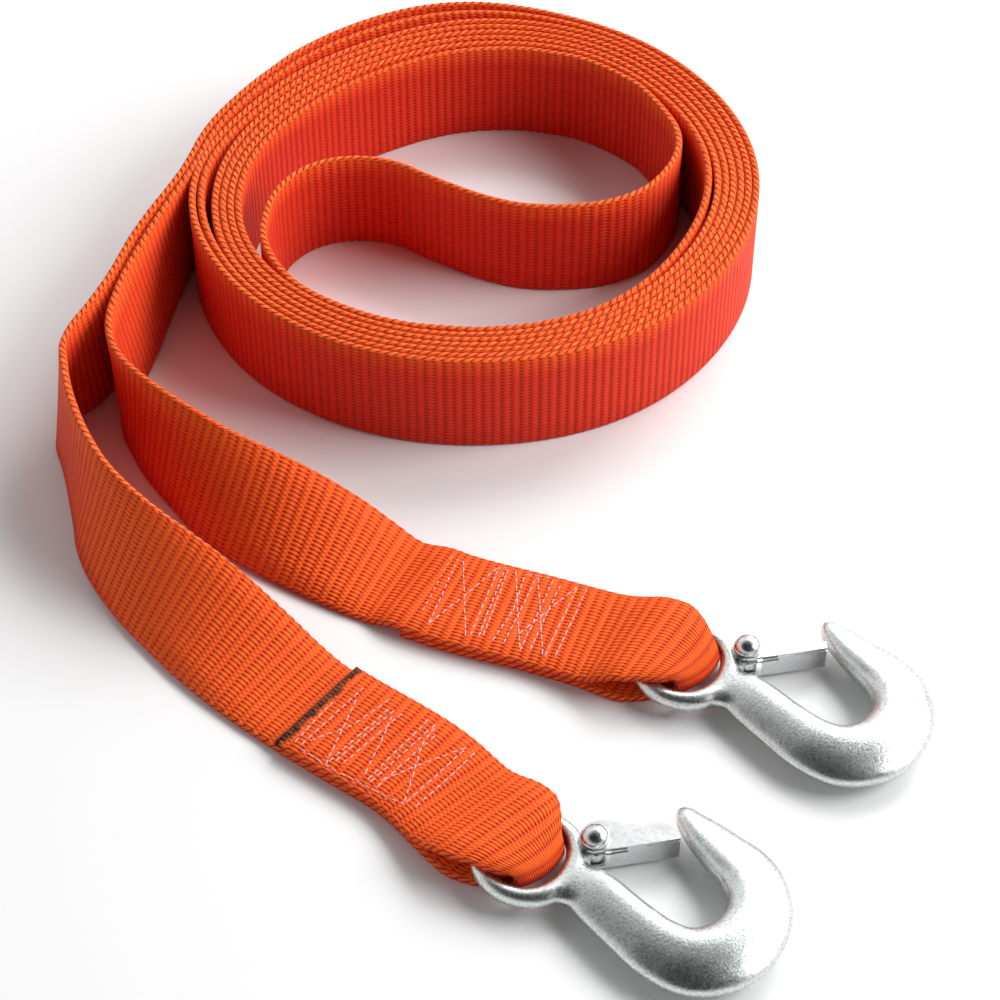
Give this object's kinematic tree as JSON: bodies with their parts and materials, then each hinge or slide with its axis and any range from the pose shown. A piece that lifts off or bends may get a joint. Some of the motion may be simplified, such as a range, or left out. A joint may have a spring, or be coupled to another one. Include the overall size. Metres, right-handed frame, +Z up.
{
  "type": "tow strap",
  "caption": "Orange webbing tow strap coiled on edge, with a forged eye hook and a spring latch sewn into each end",
  "frame": {"origin": "on the floor under the middle of the whole part's box", "axes": "+Z up; the coil stands on its edge towards +Y and the two hooks lie towards -Y and +X"},
  "size_m": [0.3682, 0.5666, 0.0501],
  "materials": {
    "webbing": "coarse woven polyester, matt with a slight sheen",
    "hook_metal": "zinc-plated forging, uneven and semi-bright",
    "latch_metal": "bright zinc-plated sheet",
    "rivet_metal": "zinc-plated, domed and slightly worn",
    "spring_wire": "drawn spring wire"
  },
  "bodies": {
    "strap_and_hooks": {"strap": "webbing", "hook_front": "hook_metal", "hook_rear": "hook_metal", "rivet_front": "rivet_metal", "rivet_rear": "rivet_metal"},
    "front_latch": {"latch_front": "latch_metal", "spring_front": "spring_wire"},
    "rear_latch": {"latch_rear": "latch_metal", "spring_rear": "spring_wire"}
  },
  "joints": [
    {"name": "front_latch_hinge", "type": "hinge", "parent": "strap_and_hooks", "child": "front_latch", "pos_m": [0.04824, -0.2178, 0.008], "axis": [0, 0, -1], "range_deg": [0, 40], "stiffness_Nm_per_rad": 0.06, "springref_deg": -34.38},
    {"name": "rear_latch_hinge", "type": "hinge", "parent": "strap_and_hooks", "child": "rear_latch", "pos_m": [0.11204, -0.1226, 0.008], "axis": [0, 0, -1], "range_deg": [0, 40], "stiffness_Nm_per_rad": 0.06, "springref_deg": -34.38}
  ]
}
